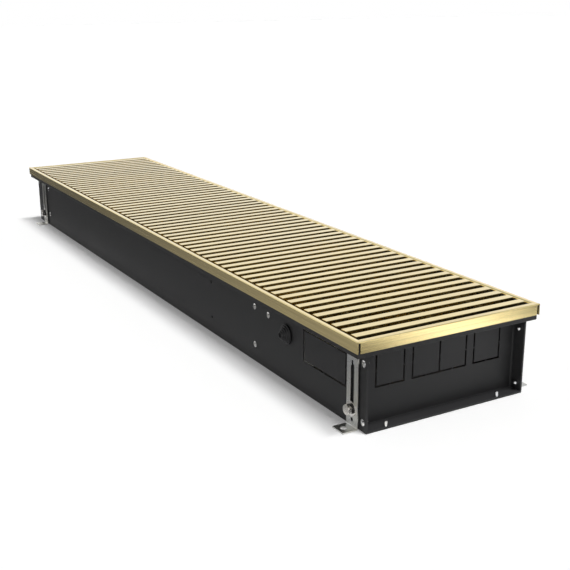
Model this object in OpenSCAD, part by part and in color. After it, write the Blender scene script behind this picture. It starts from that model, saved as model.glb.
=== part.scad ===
// Trench convector heater with a roll-up grille, a finned heat exchanger and two crossflow fans.
// X runs along the trough, +Y away from the side with the cable grommet, Z up from the floor.

/* [Casing] */
// Length of the folded trough
case_len = 1222; // [1180:1:1400]
// Width over the trough's long walls
case_w = 230; // [226:1:260]
// Height of the flanges' underside above the floor
flange_z = 92; // [91:1:120]
// Thickness of the casing's steel sheet
sheet_t = 1.2; // [0.8:0.1:1.3]
// Inner radius of the casing's open folds
bend_r = 1.2; // [0.8:0.1:2]
// Reach of the long flanges beyond the walls
flange_out = 14; // [12:0.5:18]
// Height of the upturned lips over the flanges' underside
lip_h = 14.5; // [9:0.5:15]
// Depth by which each end plate is set back from the trough's end
end_recess = 18; // [16:0.5:24]
// Reach of the end plates' top flange beyond the trough's end
end_lip_out = 2; // [1.5:0.1:3]

/* [Knockouts] */
// Width and height of an end plate's knockout
knockout_w = 39; // [30:0.1:42]
// Height of the end knockouts' lower edge above the floor
knockout_z = 45; // [30:0.1:46]
// Gap between an inner and an outer knockout
knockout_gap = 12.2; // [6:0.1:16]
// Width of the slots that outline a knockout
knockout_slot = 2.3; // [0.6:0.1:2.6]
// Width of the tabs that hold a knockout
knockout_tab = 1.2; // [1:0.1:5]
// Length of the front wall's knockout
side_knockout_len = 91; // [60:1:92]
// Height of the front wall's knockout
side_knockout_h = 40; // [25:1:42]
// Height of the front knockout's lower edge above the floor
side_knockout_z = 42.7; // [30:1:44]
// Distance from the front knockout's near edge to the trough's end
side_knockout_in = 41.5; // [38:0.5:44]

/* [Frame rails] */
// Width of the long rails' top
rail_w = 7; // [6:0.1:8]
// Width of the end rails' top
end_rail_w = 9; // [8:0.1:10]
// Height of the rails' outer face
rail_face_h = 13.8; // [10:0.1:16]
// Wall thickness of the rails
rail_t = 1.3; // [1:0.1:1.4]
// Radius of the rails' outer upper edge
rail_edge_r = 1.1; // [0.3:0.1:1.3]
// Radius of the bend between the rails' top and their inner leg
rail_bend_r = 2.4; // [1.6:0.1:3]
// Distance by which the rails' outer face stands proud of the lips
rail_proud = 2; // [1.6:0.1:2.5]
// Open joint between a long rail's end and the end rail's outer leg
rail_joint = 2.7; // [0.5:0.1:4]
// Length of each leg of the corner keys
key_len = 38; // [20:1:60]
// Height of the corner keys
key_h = 3.4; // [2:0.1:3.6]
// Clearance around the corner keys
key_clear = 0.2; // [0.1:0.05:0.3]

/* [Grille] */
// Distance from one slat to the next
slat_pitch = 19.8; // [16:0.1:24]
// Width of a slat
slat_w = 10.2; // [8:0.1:12]
// Height of a slat
slat_h = 18; // [16:0.5:20]
// Wall thickness of the hollow slats
slat_wall = 1.3; // [1:0.1:1.6]
// Bevel along the slats' outer edges
slat_bevel = 0.3; // [0.2:0.1:0.8]
// Gap between the slats' ends and the rails
slat_end_gap = 1.9; // [1.6:0.1:3]
// Least gap between the outermost slat and the end rail
slat_side_gap = 6; // [4:0.1:9]
// Thickness of the damping strips under the slats
strip_t = 1.3; // [1:0.1:2]
// Width of the damping strips
strip_w = 8; // [5:0.5:9]
// Thickness of the upright lining between the grille and the rails
lining_t = 1; // [0.6:0.1:1.2]
// Radius of the rods that string the slats together
rod_r = 1.5; // [1:0.1:2]
// Radius of the spacers between the slats
spacer_r = 4; // [3:0.1:5]
// Thickness of the push-on caps at the rods' ends
rod_cap_t = 1.5; // [1:0.1:2.5]

/* [Foot brackets] */
// Width of a foot bracket
bracket_w = 22; // [19:0.5:26]
// Sheet thickness of a foot bracket
bracket_t = 1.5; // [1.2:0.1:2]
// Gap between a bracket's top and the flange above it
bracket_top_gap = 1; // [0.5:0.1:3]
// Inner radius of the foot's fold
bracket_bend_r = 1.5; // [1:0.1:2.5]
// Width of the height-adjusting slot
slot_w = 7; // [6.6:0.1:8]
// Height of the slot's upper end, at the centre of its round
slot_top_z = 77.4; // [60:0.1:80]
// Reach of the foot beyond the wall
foot_reach = 21.8; // [19:0.1:26]
// Radius of the anchor hole in the foot
anchor_r = 4; // [2.5:0.1:4.2]
// Distance of the anchor hole from the wall
anchor_out = 13.5; // [12.5:0.1:14]
// Radius of the small hole low in the bracket
bracket_hole_r = 2.4; // [1:0.1:3]
// Height of the small hole low in the bracket
bracket_hole_z = 9.5; // [8:0.1:11]
// Distance of the near brackets' centre from the trough's end
near_bracket_in = 24; // [20:0.5:27]
// Distance of the far brackets' centre from the trough's end
far_bracket_in = 47; // [20:0.5:52]

/* [Bolts and rivets] */
// Height of the clamp bolts above the floor
bolt_z = 23; // [21:0.1:26]
// Radius of the clamp bolts
bolt_r = 3; // [2.5:0.1:3]
// Width across flats of the bolts' heads
bolt_af = 12; // [8:0.1:13]
// Height of the bolts' heads
bolt_head_h = 4; // [3:0.1:5]
// Length of the bolts under the head
bolt_len = 20; // [16:0.5:24]
// Radius of the flat washers
washer_r = 9; // [6:0.1:10]
// Thickness of the flat washers
washer_t = 1.6; // [0.8:0.1:2]
// Radius of the lock washers
lock_r = 5.9; // [5:0.1:6.5]
// Thickness of the lock washers
lock_t = 2.4; // [1:0.1:3]
// Radius of the rivet nuts' body
nut_r = 4.5; // [4:0.1:5]
// Radius of the rivet nuts' flange
nut_flange_r = 6.5; // [5.5:0.1:7]
// Thickness of the rivet nuts' flange, which keeps the bracket off the wall
nut_flange_t = 1.5; // [1.5:0.1:2]
// Length of the rivet nuts' body behind the wall's outer face
nut_len = 14; // [10:0.5:16]
// Radius of the rivets' domed heads
rivet_head_r = 4; // [3:0.1:4.5]
// Height of the rivets' domed heads
rivet_head_h = 1.2; // [0.8:0.1:1.2]
// Radius of the rivets' shanks
rivet_r = 2; // [1.6:0.1:2.4]
// Radius of the rivets' bulbed tails
rivet_tail_r = 2.7; // [2.6:0.1:3.4]
// Length of the rivets' bulbed tails
rivet_tail_len = 5; // [3:0.1:6]
// Distance of the end plates' side rivets from the trough's end
end_rivet_in = 7.2; // [6:0.1:8]
// Distance of the floor rivets from the trough's end
floor_rivet_in = 2.8; // [2.7:0.1:8]
// Radius of the floor rivets' shanks
floor_rivet_r = 1.6; // [1.2:0.1:1.6]
// Radius of the floor rivets' tails
floor_tail_r = 2.1; // [1.8:0.1:2.4]
// Length of the floor rivets' tails
floor_tail_len = 7; // [5:0.1:8]
// Height of the end plates' lower side rivets
end_rivet_low_z = 11.5; // [10:0.1:16]
// Height of the end plates' upper side rivets
end_rivet_high_z = 81.5; // [60:0.1:83]
// Height of the lower casing rivets
wall_rivet_low_z = 24; // [18:0.1:30]
// Height of the upper casing rivets
wall_rivet_high_z = 76.5; // [60:0.1:78]
// Place of the spare holes in the long walls, as a share of the way from the middle to the end
spare_hole_share = 0.37; // [0.3:0.01:0.42]

/* [Cable grommet] */
// Distance of the grommet from the trough's near end
grommet_in = 173; // [160:0.5:200]
// Height of the grommet above the floor
grommet_z = 64.2; // [50:0.1:65]
// Radius of the grommet's flange
grommet_r = 13; // [11:0.1:14]
// Thickness of the grommet's flanges
grommet_flange_t = 2.8; // [1:0.1:3.5]
// Radius of the grommet's neck in the wall
grommet_neck_r = 9.5; // [8:0.1:10]
// Radius of the grommet's tip
grommet_tip_r = 4.6; // [4:0.1:6]
// Length of the grommet's stepped cone
grommet_cone_len = 7.2; // [4:0.1:12]
// Number of steps on the cone
grommet_steps = 4; // [3:1:6]
// Radius of the cable hole through the grommet
grommet_bore_r = 3; // [2:0.1:3.5]

/* [Cross brackets] */
// Distance of the near cross bracket's rivets from the trough's near end
cross_near_in = 256.5; // [246:0.5:261]
// Distance of the far cross bracket's rivets from the trough's far end
cross_far_in = 70; // [66:0.5:81]
// Width of the cross brackets' flanges
cross_flange = 18; // [12:0.5:20]
// Height of the cross brackets' top above the floor
cross_top_z = 87; // [84:0.5:90]
// Depth of the doubler plates behind the foot brackets
doubler_t = 2; // [1:0.1:3]
// Width of the doubler plates
doubler_w = 26; // [22:0.5:27]

/* [Heat exchanger] */
// Outside radius of the water tubes
tube_r = 7.5; // [6:0.1:8]
// Wall thickness of the water tubes
tube_wall = 1; // [0.7:0.1:1.5]
// Distance between the tubes across the trough
tube_pitch_y = 50; // [44:0.5:54]
// Distance between the tubes in height
tube_pitch_z = 32; // [26:0.5:34]
// Height of the upper tubes above the floor
tube_top_z = 62; // [58:0.5:64]
// Width of a fin
fin_w = 95; // [80:1:98]
// Height of a fin
fin_h = 62; // [52:1:64]
// Thickness of a fin
fin_t = 0.5; // [0.3:0.1:1]
// Distance from one fin to the next
fin_pitch = 8; // [5:0.5:12]
// Least gap between the outermost fins and the cross brackets
fin_end_gap = 26; // [22:0.5:120]
// Clearance of the tubes in the cross brackets
tube_clear = 0.3; // [0.1:0.05:0.5]
// Length of the brass connectors
connector_len = 42; // [38:0.5:46]
// Width across flats of the connectors
connector_af = 27; // [25:0.5:30]
// Radius of the connectors' shank through the plate
connector_shank_r = 11; // [10:0.1:12]
// Radius of the connectors' half-inch pipe thread
thread_r = 9.3; // [9:0.05:9.5]
// Depth of the connectors' pipe thread
thread_depth = 16; // [12:0.5:18]
// Distance of the connection plate from the near cross bracket's web
connection_plate_out = 76; // [70:0.5:82]
// Thickness of the connection plate
connection_plate_t = 2; // [1.5:0.1:3]
// Radius of the air vent's body
vent_r = 4.5; // [4:0.1:6]
// Height of the air vent's body
vent_h = 7; // [5:0.1:8]
// Radius of the air vent's screw
vent_screw_r = 2.5; // [1.5:0.1:3]
// Radius of the vent screw's head
vent_head_r = 3.6; // [3.2:0.1:4.5]
// Height of the vent screw's head
vent_head_h = 3; // [2:0.1:3.5]

/* [Fan units] */
// Height of the fans' axis above the floor
fan_z = 44; // [40:0.5:46]
// Radius of the rotors
rotor_r = 27; // [22:0.5:27.5]
// Gap between a fan unit's outer end and the cross bracket beside it
fan_end_gap = 42; // [38:0.5:80]
// Number of blades around a rotor
blade_count = 24; // [12:1:30]
// Depth of a blade
blade_depth = 6; // [4:0.5:8]
// Thickness of a blade
blade_t = 0.8; // [0.6:0.1:1.2]
// Number of rotor sections between the ring discs
rotor_sections = 5; // [2:1:8]
// Thickness of the rotors' discs
disc_t = 1.6; // [1:0.1:3]
// Gap between a rotor and the housing around it
rotor_gap = 4; // [2:0.1:4.5]
// Sheet thickness of the fan housings
housing_t = 1.2; // [0.8:0.1:1.5]
// Gap between a rotor's end and the housing's end wall
rotor_end_gap = 6; // [5:0.1:9]
// Radius of the fan shafts
shaft_r = 3; // [2:0.1:4]
// Radial running clearance of the shafts
shaft_clear = 0.05; // [0.02:0.01:0.1]
// Outside radius of the bearing bushes
bush_r = 7; // [6:0.1:9]
// Length of the bearing bushes
bush_len = 7; // [5:0.1:9]
// Radius of the fan motors
motor_r = 24; // [18:0.5:26]
// Length of the fan motors
motor_len = 50; // [40:1:54]
// Gap between the two fan units
fan_unit_gap = 40; // [20:1:50]
// Gap between the outlet's floor and the fins
outlet_gap = 8.5; // [6:0.5:20]

/* [Electrical] */
// Length of the terminal box
box_len = 88; // [80:1:92]
// Width of the terminal box
box_w = 55; // [48:1:60]
// Height of the terminal box
box_h = 54; // [48:0.5:54]
// Height of the terminal box's floor above the trough's underside
box_z = 27; // [20:0.5:27]
// Wall thickness of the terminal box
box_t = 1.5; // [1:0.1:2.5]
// Radius of the box's screw posts
post_r = 4; // [3:0.1:5]
// Radius of the small screws
screw_r = 1.5; // [1:0.1:1.8]
// Radius of the small screws' heads
screw_head_r = 2.8; // [2.2:0.1:3.2]
// Height of the small screws' heads
screw_head_h = 1.8; // [1:0.1:2.5]
// Length of the small screws
screw_len = 10; // [6:0.5:14]
// Number of poles in the terminal block
block_poles = 6; // [2:1:6]
// Distance from pole to pole
pole_pitch = 8; // [6:0.1:8.2]
// Width of the terminal block
block_w = 18; // [14:0.5:22]
// Height of the terminal block
block_h = 14; // [10:0.5:18]
// Radius of the motor cables
cable_r = 2.5; // [1.5:0.1:3]

/* [Hidden] */
$fn = 48;

// Overrun of cuts, and clearance of fixed pieces in their holes
over = 0.5;
hole_clear = 0.05;

// Turn that lays two of a hexagon's flats across its sides
hex_turn = 30;

// Inner radius of the end plates' upright folds, which are wider than the others
side_bend_r = 2 * bend_r;

// Faces of the casing
wall_y = case_w / 2;
wall_in_y = wall_y - sheet_t;
flange_top = flange_z + sheet_t;
lip_y = wall_y + flange_out;
end_x = case_len / 2;
plate_x = end_x - end_recess;
end_lip_x = end_x + end_lip_out;
strip_top = flange_top + strip_t;
frame_top = strip_top + slat_h;
frame_y = lip_y + rail_proud;
frame_x = end_lip_x + rail_proud;
rail_in_y = frame_y - rail_w;
rail_in_x = frame_x - end_rail_w;

// Slats, rods and spacers
slat_len = 2 * (rail_in_y - slat_end_gap);
slat_room = 2 * (rail_in_x - slat_side_gap) - slat_w;
slat_steps = floor(slat_room / slat_pitch);
slat_row = slat_steps * slat_pitch;
rod_row_shares = [-0.62, 0, 0.62];
rod_hole_r = rod_r + hole_clear;
rod_z = strip_top + slat_h / 2;
rod_len = slat_row + slat_w + 2 * rod_cap_t;

// Foot brackets: their place along X, with the sides as signs
near_bracket_x = end_x - near_bracket_in;
far_bracket_x = far_bracket_in - end_x;
bracket_xs = [near_bracket_x, far_bracket_x];
sides = [-1, 1];
bracket_in_y = wall_y + nut_flange_t;
bracket_out_y = bracket_in_y + bracket_t;
head_y = bracket_out_y + washer_t + lock_t;
bracket_top_z = flange_z - bracket_top_gap;

// Rivets in the end plates' bottom flange, as shares of the half width
floor_rivet_shares = [-0.75, 0.67];
rivet_hole_r = rivet_r + hole_clear;
rivet_bore_share = 0.6;
end_rivet_x = end_x - end_rivet_in;
floor_rivet_x = end_x - floor_rivet_in;
floor_hole_r = floor_rivet_r + hole_clear;
box_rivet_in = 11.7;
box_rivet_drop = 6;

// Cross brackets: the web stands beyond the rivets' row
spare_hole_x = end_x * spare_hole_share;
cross_near_x = end_x - cross_near_in;
cross_far_x = end_x - cross_far_in;
web_off = cross_flange / 2;
near_web_x = cross_near_x + web_off;
far_web_x = -cross_far_x - web_off;

// Across the trough: the fans and the fins share out the free room in front, between and behind
scroll_r = rotor_r + rotor_gap;
scroll_out_r = scroll_r + housing_t;
front_room_share = 0.32;
rear_room_share = 0.12;
free_room = 2 * wall_in_y - 2 * scroll_out_r - fin_w;
fan_axis_y = -wall_in_y + free_room * front_room_share + scroll_out_r;
exchanger_y = wall_in_y - free_room * rear_room_share - fin_w / 2;
outlet_len = exchanger_y - fin_w / 2 - outlet_gap - fan_axis_y;

// Heat exchanger
fin_pack_len = near_web_x - far_web_x - 2 * fin_end_gap;
tube_low_z = tube_top_z - tube_pitch_z;
tube_ys = [exchanger_y - tube_pitch_y / 2, exchanger_y + tube_pitch_y / 2];
tube_zs = [tube_low_z, tube_top_z];
fin_mid_x = (near_web_x + far_web_x) / 2;
fin_steps = floor(fin_pack_len / fin_pitch);
fin_row = fin_steps * fin_pitch;
fin_mid_z = (tube_top_z + tube_low_z) / 2;
bend_out = 6;
far_bend_x = far_web_x - bend_out;
near_bend_x = near_web_x + sheet_t + bend_out;
tube_seat = 12;
connection_plate_x = near_web_x + connection_plate_out;
connector_back = connection_plate_x - connector_len / 2;
connector_front = connector_back + connector_len;
vent_base_z = tube_top_z + connector_af / 2;
vent_x = connector_front - connector_len / 4;
vent_slot_w = 0.8;
vent_slot_deep = 1;

// Fan units: each starts at its bearing end and is measured from there
near_unit_x = (near_web_x + far_web_x + fan_unit_gap) / 2;
unit_len = near_web_x - fan_end_gap - near_unit_x;
scroll_len = unit_len - 2 * housing_t - motor_len;
rotor_len = scroll_len - 2 * rotor_end_gap;
far_unit_x = near_unit_x - fan_unit_gap - unit_len;
end_wall_w = 2 * scroll_out_r + 2 * housing_t;
end_wall_top = fan_z + scroll_out_r;
fan_foot_len = 12;
intake_angle = 115;
tongue_low_angle = 25;
tongue_high_angle = 52;
tongue_root_angle = 28;
sector_share = 3;
bush_lip = 0.5;
motor_cap_h = 6;
motor_cap_r_share = 0.6;
motor_screw_ring_share = 0.72;
motor_screw_len = 5;
motor_screw_angles = [30, 150, 270];
motor_hole_share = 3;

// Terminal box: it hangs on the front wall between the cross bracket and the knockout
box_place_share = 0.67;
box_x = end_x - grommet_in - box_len * box_place_share;
box_back_y = -wall_in_y;
box_front_y = box_back_y + box_w;
box_top_z = box_z + box_h;
box_rivet_x = box_x + box_rivet_in;
box_rivet_z = box_top_z - box_rivet_drop;
grommet_x = end_x - grommet_in;
grommet_step = grommet_cone_len / grommet_steps;
grommet_cone_r = grommet_r - grommet_flange_t / 2;
grommet_taper = 0.6;
grommet_grip = sheet_t + box_t;
grommet_tip_out = grommet_tip_r + grommet_taper;
lid_t = box_t;
post_in = post_r + box_t / 2;
post_y = box_front_y - post_in;
post_places = [[box_x + post_in, post_y], [box_x + box_len - post_in, post_y]];
block_len = block_poles * pole_pitch;
block_x = box_x + box_len / 2;
block_place_share = 0.66;
block_y = box_back_y + box_w * block_place_share;
block_floor = box_z + box_t;
pole_row_shares = [0.25, 0.75];
pole_hole_r = 1.9;
pole_hole_deep = 8;

// Motor cables: places of their runs
cable_exit_z = fan_z;
cable_exit_share = 0.8;
cable_exit_y = fan_axis_y - motor_r * cable_exit_share;
cable_lift = 2;
cable_bend_share = 1.05;
cable_floor_z = sheet_t + cable_r + cable_lift;
cable_wall_y = (fan_axis_y - end_wall_w / 2 - wall_in_y) / 2;
cable_entry_z = block_floor + block_h / 2;
far_cable_gap = 6;
cable_entries = [block_y + cable_r + cable_lift / 2, block_y - cable_r - cable_lift / 2];
cable_bend_x = near_web_x + cross_flange / 3;
cable_end_x = block_x - block_len / 2;
far_motor_end = far_unit_x + unit_len;
far_cable_down_x = far_motor_end + far_cable_gap;
far_cable_up_x = near_web_x - cross_flange;
far_cable_points = [
    [far_motor_end - motor_cap_h, cable_exit_y, cable_exit_z],
    [far_cable_down_x, cable_exit_y, cable_exit_z],
    [far_cable_down_x, cable_wall_y, cable_floor_z],
    [far_cable_up_x, cable_wall_y, cable_floor_z],
    [cable_bend_x, cable_entries[1], cable_entry_z],
    [cable_end_x, cable_entries[1], cable_entry_z]];
clip_len = 8;
clip_t = 2;
clip_shares = [0.08, 0.5, 0.9];

// Earth stud on the trough's floor
stud_r = 2.5;
stud_af = 8;
stud_nut_h = 4;
stud_len = 16;
stud_washer_r = 5;
stud_washer_t = 1;
stud_x = box_x - stud_af;
stud_y = 0;

// A rod or tube along X from x0 to x1
module rod_x(x0, x1, r) {
    translate([x0, 0, 0]) rotate([0, 90, 0]) cylinder(r = r, h = x1 - x0);
}

// A hexagonal bar along Z, across flats af
module hex_bar(af, h) {
    cylinder(r = af / sqrt(3), h = h, $fn = 6);
}

// Turns a piece that points along +Z so that it points out of the wall on one side
module out_of_wall(side) {
    rotate([side > 0 ? -90 : 90, 0, 0]) children();
}

// A blind rivet: its head's underside lies at z = 0 and its tail hangs below the grip
module blind_rivet(grip) {
    dome_r = (rivet_head_r * rivet_head_r + rivet_head_h * rivet_head_h) / (2 * rivet_head_h);
    difference() {
        union() {
            intersection() {
                translate([0, 0, rivet_head_h - dome_r]) sphere(r = dome_r);
                cylinder(r = rivet_head_r, h = rivet_head_h);
            }
            translate([0, 0, -grip]) cylinder(r = rivet_r, h = grip + rivet_head_h / 2);
            translate([0, 0, -grip - rivet_tail_len + rivet_tail_r])
                cylinder(r = rivet_tail_r, h = rivet_tail_len - rivet_tail_r);
            translate([0, 0, -grip - rivet_tail_len + rivet_tail_r]) sphere(r = rivet_tail_r);
        }
        translate([0, 0, rivet_head_h / 3]) cylinder(r = rivet_r * rivet_bore_share, h = rivet_head_h);
    }
}

// A rivet hole along Z through a sheet around z = 0
module rivet_hole(deep) {
    translate([0, 0, -deep]) cylinder(r = rivet_hole_r, h = 2 * deep);
}

// The slots that outline a knockout of w by h, cut along Z through a sheet around z = 0
module knockout_cut(w, h, deep) {
    difference() {
        translate([-knockout_slot / 2, -knockout_slot / 2, -deep])
            cube([w + knockout_slot, h + knockout_slot, 2 * deep]);
        translate([knockout_slot / 2, knockout_slot / 2, -deep - over])
            cube([w - knockout_slot, h - knockout_slot, 2 * (deep + over)]);
        translate([-knockout_slot, (h - knockout_tab) / 2, -deep - over])
            cube([w + 2 * knockout_slot, knockout_tab, 2 * (deep + over)]);
        translate([(w - knockout_tab) / 2, -knockout_slot, -deep - over])
            cube([knockout_tab, h + 2 * knockout_slot, 2 * (deep + over)]);
    }
}

// Keeps children on the -Y side, or mirrors them to the +Y side
module mirror_side(side) {
    if (side < 0) children();
    else mirror([0, 1, 0]) children();
}

// One place on a long wall's outer face, with +Z pointing out of the wall
module on_wall(x, side, z) {
    translate([x, side * wall_y, z]) out_of_wall(side) children();
}

// What lies outside a quarter circle in a corner at the origin, with a margin around it
module corner_fill(r, margin) {
    difference() {
        translate([-margin, -margin]) square([r + margin, r + margin]);
        translate([r, r]) circle(r = r);
    }
}

// Right half of the trough's section; only the folds that no other sheet lies in have an inner radius
module half_section() {
    difference() {
        union() {
            translate([wall_in_y, 0]) square([sheet_t, flange_top]);
            translate([wall_in_y, flange_z]) square([lip_y - wall_in_y, sheet_t]);
            translate([lip_y - sheet_t, flange_z]) square([sheet_t, lip_h]);
            square([wall_y, sheet_t]);
            translate([wall_y, flange_z]) mirror([0, 1]) corner_fill(bend_r, sheet_t / 2);
        }
        translate([wall_y, 0]) mirror([1, 0]) corner_fill(sheet_t, over);
        translate([lip_y, flange_z]) mirror([1, 0]) corner_fill(sheet_t, over);
        translate([wall_in_y, flange_top]) mirror([0, 1]) corner_fill(bend_r + sheet_t, over);
    }
}

module trough_section() {
    for (flip = [0, 1]) mirror([flip, 0]) half_section();
}

module trough() {
    color([0.2, 0.2, 0.205]) difference() {
        translate([-end_x, 0, 0]) rotate([90, 0, 90]) linear_extrude(case_len) trough_section();
        for (side = sides) {
            for (x = bracket_xs) {
                on_wall(x, side, bolt_z) translate([0, 0, -sheet_t - over])
                    cylinder(r = nut_r + hole_clear, h = sheet_t + 2 * over);
                on_wall(x, side, wall_rivet_high_z) rivet_hole(sheet_t + over);
            }
            for (x = [cross_near_x, -cross_far_x, spare_hole_x], z = [wall_rivet_low_z, wall_rivet_high_z])
                on_wall(x, side, z) rivet_hole(sheet_t + over);
            for (x = [-end_rivet_x, end_rivet_x], z = [end_rivet_low_z, end_rivet_high_z])
                on_wall(x, side, z) rivet_hole(sheet_t + over);
        }
        at_floor_rivets() translate([0, 0, -over]) cylinder(r = floor_hole_r, h = sheet_t + 2 * over);
        on_wall(box_rivet_x, -1, box_rivet_z) rivet_hole(sheet_t + over);
        on_wall(grommet_x, -1, grommet_z) translate([0, 0, -sheet_t - over])
            cylinder(r = grommet_neck_r + hole_clear, h = sheet_t + 2 * over);
        translate([end_x - side_knockout_in - side_knockout_len, -wall_y, side_knockout_z])
            rotate([90, 0, 0]) knockout_cut(side_knockout_len, side_knockout_h, sheet_t + over);
        translate([stud_x, stud_y, 0]) cylinder(r = stud_r + hole_clear, h = sheet_t + over);
    }
}

// Section of an end plate along X and in height: plate, bottom flange and top flange
module end_plate_section() {
    back_x = plate_x - sheet_t;
    difference() {
        union() {
            translate([back_x, sheet_t]) square([sheet_t, flange_z]);
            translate([back_x, sheet_t]) square([end_recess + sheet_t, sheet_t]);
            translate([back_x, flange_z]) square([end_recess + end_lip_out + sheet_t, sheet_t]);
            translate([plate_x, 2 * sheet_t]) corner_fill(bend_r, sheet_t / 2);
            translate([plate_x, flange_z]) mirror([0, 1]) corner_fill(bend_r, sheet_t / 2);
        }
        translate([back_x, sheet_t]) corner_fill(bend_r + sheet_t, over);
        translate([back_x, flange_top]) mirror([0, 1]) corner_fill(bend_r + sheet_t, over);
    }
}

// Section of an end plate's rear edge and side flange, seen from above
module side_flange_section() {
    translate([plate_x - sheet_t, wall_in_y - sheet_t]) square([end_recess + sheet_t, sheet_t]);
    translate([plate_x, wall_in_y - sheet_t]) mirror([0, 1]) corner_fill(side_bend_r, sheet_t / 2);
}

// An end plate that looks towards +X, with its flanges folded outward
module end_plate() {
    side_top_z = flange_z - end_lip_out;
    difference() {
        union() {
            translate([0, wall_in_y, 0]) rotate([90, 0, 0])
                linear_extrude(2 * wall_in_y) end_plate_section();
            for (side = sides) mirror_side(side) mirror([0, 1, 0]) translate([0, 0, sheet_t])
                linear_extrude(side_top_z - sheet_t) side_flange_section();
            translate([end_lip_x - sheet_t, -lip_y, flange_z]) cube([sheet_t, 2 * lip_y, lip_h]);
        }
        translate([end_lip_x, lip_y + over, flange_z]) rotate([90, 0, 0])
            linear_extrude(2 * (lip_y + over)) mirror([1, 0]) corner_fill(sheet_t, over);
        for (side = sides) mirror_side(side) translate([plate_x - sheet_t, -wall_in_y, 0])
            linear_extrude(side_top_z) corner_fill(side_bend_r + sheet_t, over);
        for (side = sides, z = [end_rivet_low_z, end_rivet_high_z])
            on_wall(end_rivet_x, side, z) rivet_hole(2 * sheet_t + over);
        at_floor_rivets() cylinder(r = floor_hole_r, h = 2 * sheet_t + over);
        for (side = sides, y = [0, knockout_w + knockout_gap]) mirror_side(side)
            translate([plate_x, -y, knockout_z]) rotate([90, 0, -90])
                knockout_cut(knockout_w, knockout_w, sheet_t + over);
    }
}

module end_plate_near() {
    color([0.2, 0.2, 0.205]) end_plate();
}

module end_plate_far() {
    color([0.2, 0.2, 0.205]) mirror([1, 0, 0]) end_plate();
}

module end_plate_rivets() {
    color([0.75, 0.75, 0.76]) for (x = [-end_rivet_x, end_rivet_x]) {
        for (side = sides, z = [end_rivet_low_z, end_rivet_high_z])
            on_wall(x, side, z) blind_rivet(2 * sheet_t);
    }
    color([0.75, 0.75, 0.76]) at_floor_rivets() floor_rivet();
}

// Children at each rivet through the trough's floor, on its underside
module at_floor_rivets() {
    for (x = [-floor_rivet_x, floor_rivet_x], share = floor_rivet_shares)
        translate([x, share * wall_y, 0]) children();
}

// A rivet through the trough's floor: the flat head is flush below and the tail stands up inside
module floor_rivet() {
    tail_z = 2 * sheet_t;
    cylinder(r = floor_rivet_r, h = tail_z + over);
    translate([0, 0, tail_z]) cylinder(r = floor_tail_r, h = floor_tail_len - floor_tail_r);
    translate([0, 0, tail_z + floor_tail_len - floor_tail_r]) sphere(r = floor_tail_r);
}

module casing_rivets() {
    color([0.75, 0.75, 0.76]) {
        for (side = sides) {
            for (x = bracket_xs) on_wall(x, side, wall_rivet_high_z) blind_rivet(sheet_t + doubler_t);
            for (x = [cross_near_x, -cross_far_x], z = [wall_rivet_low_z, wall_rivet_high_z])
                on_wall(x, side, z) blind_rivet(2 * sheet_t);
        }
        on_wall(box_rivet_x, -1, box_rivet_z) blind_rivet(sheet_t + box_t);
    }
}

// The section of a rail: x runs inwards from its outer face and y is the height
module rail_section(w) {
    difference() {
        union() {
            translate([0, frame_top - rail_face_h]) square([rail_t, rail_face_h]);
            translate([0, frame_top - rail_t]) square([w, rail_t]);
            translate([w - rail_t, flange_top]) square([rail_t, frame_top - flange_top]);
            translate([w - rail_t, frame_top - rail_t]) rotate(180)
                corner_fill(rail_bend_r - rail_t, rail_t / 2);
        }
        translate([0, frame_top]) mirror([0, 1]) corner_fill(rail_edge_r, over);
        translate([w, frame_top]) rotate(180) corner_fill(rail_bend_r, over);
    }
}

// A wedge over one corner that takes off what lies beyond the mitre of the two rails
module mitre_cut(keep_long) {
    far = 2 * end_rail_w;
    slope = rail_w / end_rail_w;
    corner = [frame_x, frame_y];
    inner = [frame_x - far, frame_y - far * slope];
    outer = [frame_x + far, frame_y + far * slope];
    side = keep_long ? 1 : -1;
    side_point = [frame_x + side * far, frame_y - side * far * slope];
    translate([0, 0, flange_z]) linear_extrude(frame_top) polygon([inner, corner, outer, side_point]);
}

// The rear long rail; its outer leg runs the full length and the rest is mitred
module long_rail() {
    difference() {
        translate([-frame_x, frame_y, 0]) rotate([90, 0, 90]) mirror([1, 0, 0])
            linear_extrude(2 * frame_x) rail_section(rail_w);
        for (end = [0, 1]) mirror([end, 0, 0]) intersection() {
            mitre_cut(true);
            cube([2 * frame_x, frame_y - rail_t, 2 * frame_top]);
        }
    }
}

// The near end rail; its outer leg stops short of the long rails
module end_rail() {
    leg_stop = frame_y - rail_t - rail_joint;
    difference() {
        translate([frame_x, frame_y, 0]) rotate([90, 0, 0]) mirror([1, 0, 0])
            linear_extrude(2 * frame_y) rail_section(end_rail_w);
        for (side = sides) mirror_side(side) {
            mitre_cut(false);
            translate([frame_x - rail_t - over, leg_stop, 0])
                cube([rail_t + 2 * over, frame_y, frame_top - rail_t]);
        }
        for (side = sides) translate([0, side > 0 ? frame_y - rail_t : -frame_y - over, 0])
            cube([2 * frame_x, rail_t + over, 2 * frame_top]);
    }
}

module frame_rail_front() {
    color([0.83, 0.74, 0.5]) mirror([0, 1, 0]) long_rail();
}

module frame_rail_rear() {
    color([0.83, 0.74, 0.5]) long_rail();
}

module frame_rail_near() {
    color([0.83, 0.74, 0.5]) end_rail();
}

module frame_rail_far() {
    color([0.83, 0.74, 0.5]) mirror([1, 0, 0]) end_rail();
}

// An angle that lies in the two rails' hollow at a corner
module corner_key() {
    key_w = rail_w - 2 * rail_t - 2 * key_clear;
    key_z = frame_top - rail_bend_r - key_clear - key_h;
    y = frame_y - rail_t - key_clear - key_w;
    x = frame_x - rail_t - key_clear - key_w;
    translate([x + key_w - key_len, y, key_z]) cube([key_len, key_w, key_h]);
    translate([x, y + key_w - key_len, key_z]) cube([key_w, key_len, key_h]);
}

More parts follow.
